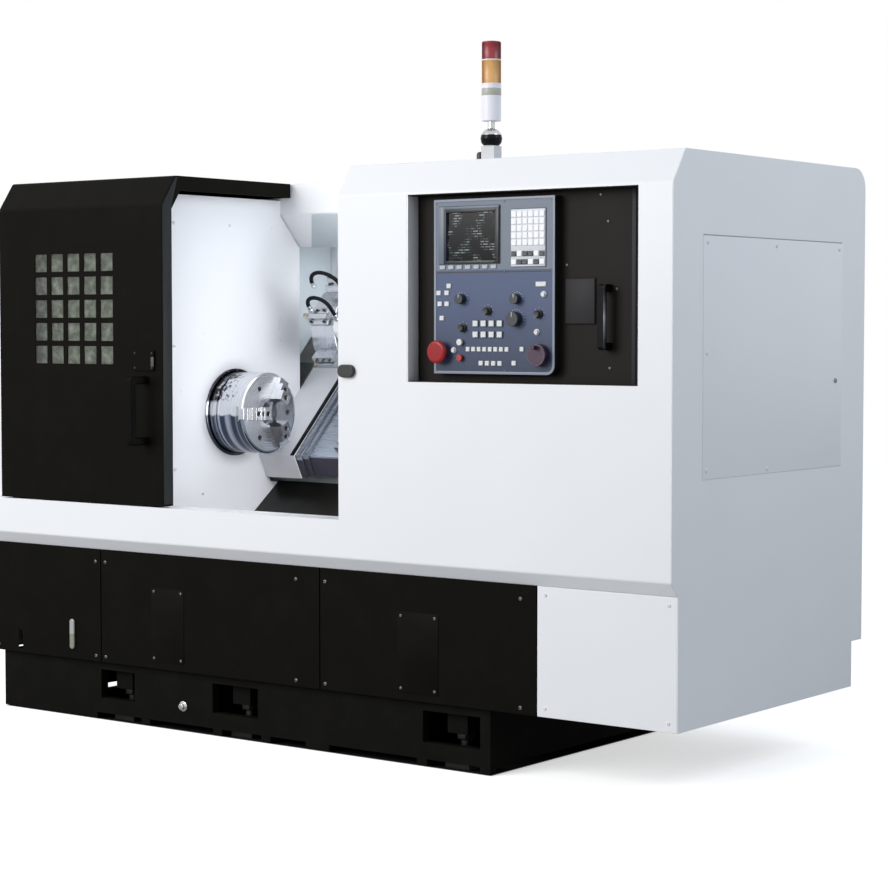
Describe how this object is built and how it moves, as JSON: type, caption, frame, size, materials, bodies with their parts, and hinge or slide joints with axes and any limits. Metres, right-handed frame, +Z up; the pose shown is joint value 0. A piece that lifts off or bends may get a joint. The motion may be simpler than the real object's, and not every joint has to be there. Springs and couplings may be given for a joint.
{
  "type": "cnc turning lathe",
  "caption": "Slant-bed turning lathe with a wrap-over sliding door, a chuck and tool turret inside, a control panel and a signal tower.",
  "frame": {"origin": "on the floor under the middle of the machine's box", "axes": "+X to the right along the front, +Y to the back, +Z up"},
  "size_m": [2.604, 1.151, 2.029],
  "materials": {
    "white_paint": "smooth",
    "black_paint": "satin",
    "liner_paint": "satin",
    "cast_paint": "rough casting",
    "bed_iron": "machined",
    "cover_steel": "brushed",
    "machined_steel": "turned",
    "hard_chrome": "ground",
    "handle_plastic": "moulded",
    "panel_paint": "satin",
    "glass_pane": "clear",
    "red_plastic": "moulded",
    "amber_plastic": "moulded",
    "tower_plastic": "moulded",
    "belt_rubber": "ribbed",
    "hose_rubber": "smooth",
    "button_plastic": "moulded",
    "tank_paint": "satin",
    "motor_paint": "satin",
    "pulley_iron": "machined"
  },
  "bodies": {
    "machine": {"base_casting": "cast_paint", "levelling_feet": "machined_steel", "slant_bed": "bed_iron", "headstock_casting": "bed_iron", "spindle_bearings": "machined_steel", "spindle_motor": "motor_paint", "drive_belt": "belt_rubber", "front_panel": "white_paint", "right_side_panel": "white_paint", "left_side_panel": "white_paint", "roof_panel": "white_paint", "back_panel": "white_paint", "headstock_guard": "white_paint", "headstock_wall": "liner_paint", "rear_splash_guard": "liner_paint", "right_splash_guard": "liner_paint", "lower_front_cover": "white_paint", "lower_panels": "black_paint", "chip_trough": "black_paint", "coolant_tank": "tank_paint", "sight_glass": "button_plastic", "way_cover_fixed": "cover_steel", "control_recess": "black_paint", "control_housing": "panel_paint", "screen_glass": "glass_pane", "tower_bracket": "hard_chrome", "tower_body": "tower_plastic", "amber_lens": "amber_plastic", "red_lens": "red_plastic", "service_cover": "white_paint", "grab_handle": "handle_plastic", "door_catch": "handle_plastic"},
    "spindle": {"spindle": "machined_steel", "spindle_pulley": "pulley_iron", "chuck_body": "machined_steel", "chuck_cylinder": "machined_steel"},
    "jaw_1": {"jaw_1": "hard_chrome"},
    "jaw_2": {"jaw_2": "hard_chrome"},
    "jaw_3": {"jaw_3": "hard_chrome"},
    "motor_rotor": {"motor_pulley": "pulley_iron"},
    "carriage": {"saddle": "bed_iron", "saddle_cover": "cover_steel"},
    "cross_slide": {"cross_slide": "bed_iron", "turret_housing": "liner_paint", "coolant_hoses": "hose_rubber"},
    "turret": {"turret_disc": "machined_steel", "tool_holders": "machined_steel"},
    "bed_screw": {"bed_screw": "hard_chrome"},
    "cover_inner": {"way_cover_inner": "cover_steel"},
    "cover_outer": {"way_cover_outer": "cover_steel"},
    "door": {"door_shell": "black_paint", "door_window": "glass_pane", "door_handle": "handle_plastic"},
    "estop_button": {"estop_button": "red_plastic"},
    "handwheel": {"handwheel": "handle_plastic"},
    "feed_knob": {"feed_knob": "handle_plastic"},
    "spindle_knob": {"spindle_knob": "handle_plastic"},
    "mode_knob": {"mode_knob": "handle_plastic"},
    "cycle_start": {"cycle_start_button": "button_plastic"},
    "feed_hold": {"feed_hold_button": "button_plastic"}
  },
  "joints": [
    {"name": "door_slide", "type": "slide", "parent": "machine", "child": "door", "axis": [1, 0, 0], "range_m": [0, 0.69]},
    {"name": "spindle_spin", "type": "hinge", "parent": "machine", "child": "spindle", "pos_m": [0, -0.1205, 0.97], "axis": [1, 0, 0], "continuous": true},
    {"name": "jaw_1_slide", "type": "slide", "parent": "spindle", "child": "jaw_1", "axis": [0, -1, 0], "range_m": [0, 0.0044]},
    {"name": "jaw_2_slide", "type": "slide", "parent": "spindle", "child": "jaw_2", "axis": [0, 0.5, -0.866], "range_m": [0, 0.0044]},
    {"name": "jaw_3_slide", "type": "slide", "parent": "spindle", "child": "jaw_3", "axis": [0, 0.5, 0.866], "range_m": [0, 0.0044]},
    {"name": "motor_spin", "type": "hinge", "parent": "machine", "child": "motor_rotor", "pos_m": [0, -0.1705, 0.338], "axis": [1, 0, 0], "continuous": true},
    {"name": "carriage_slide", "type": "slide", "parent": "machine", "child": "carriage", "axis": [1, 0, 0], "range_m": [0, 0.41]},
    {"name": "cross_slide", "type": "slide", "parent": "carriage", "child": "cross_slide", "axis": [0, 0.7071, 0.7071], "range_m": [-0.205, 0.03]},
    {"name": "turret_index", "type": "hinge", "parent": "cross_slide", "child": "turret", "pos_m": [-0.3, 0.1448, 1.23531], "axis": [1, 0, 0], "continuous": true},
    {"name": "bed_screw_spin", "type": "hinge", "parent": "machine", "child": "bed_screw", "pos_m": [0, 0.22131, 0.9396], "axis": [1, 0, 0], "continuous": true},
    {"name": "cover_inner_slide", "type": "slide", "parent": "machine", "child": "cover_inner", "axis": [1, 0, 0], "range_m": [0, 0.1367]},
    {"name": "cover_outer_slide", "type": "slide", "parent": "machine", "child": "cover_outer", "axis": [1, 0, 0], "range_m": [0, 0.2734]},
    {"name": "estop_press", "type": "slide", "parent": "machine", "child": "estop_button", "axis": [0, 1, 0], "range_m": [0, 0.004]},
    {"name": "handwheel_turn", "type": "hinge", "parent": "machine", "child": "handwheel", "pos_m": [0.877, -0.5005, 1.166], "axis": [0, 1, 0], "continuous": true},
    {"name": "feed_knob_turn", "type": "hinge", "parent": "machine", "child": "feed_knob", "pos_m": [0.798, -0.5005, 1.262], "axis": [0, 1, 0], "range_deg": [-135, 135]},
    {"name": "spindle_knob_turn", "type": "hinge", "parent": "machine", "child": "spindle_knob", "pos_m": [0.801, -0.5005, 1.316], "axis": [0, 1, 0], "range_deg": [-90, 90]},
    {"name": "mode_knob_turn", "type": "hinge", "parent": "machine", "child": "mode_knob", "pos_m": [0.617, -0.5005, 1.317], "axis": [0, 1, 0], "range_deg": [-120, 120]},
    {"name": "cycle_start_press", "type": "slide", "parent": "machine", "child": "cycle_start", "axis": [0, 1, 0], "range_m": [0, 0.003], "stiffness_N_per_m": 1200},
    {"name": "feed_hold_press", "type": "slide", "parent": "machine", "child": "feed_hold", "axis": [0, 1, 0], "range_m": [0, 0.003], "stiffness_N_per_m": 1200}
  ],
  "couplings": [
    {"joint": "motor_spin", "follows": "spindle_spin", "ratio": 1.4615},
    {"joint": "jaw_2_slide", "follows": "jaw_1_slide", "ratio": 1},
    {"joint": "jaw_3_slide", "follows": "jaw_1_slide", "ratio": 1},
    {"joint": "bed_screw_spin", "follows": "carriage_slide", "rad_per_m": 628.32},
    {"joint": "cover_inner_slide", "follows": "carriage_slide", "ratio": 0.33333},
    {"joint": "cover_outer_slide", "follows": "carriage_slide", "ratio": 0.66667}
  ]
}
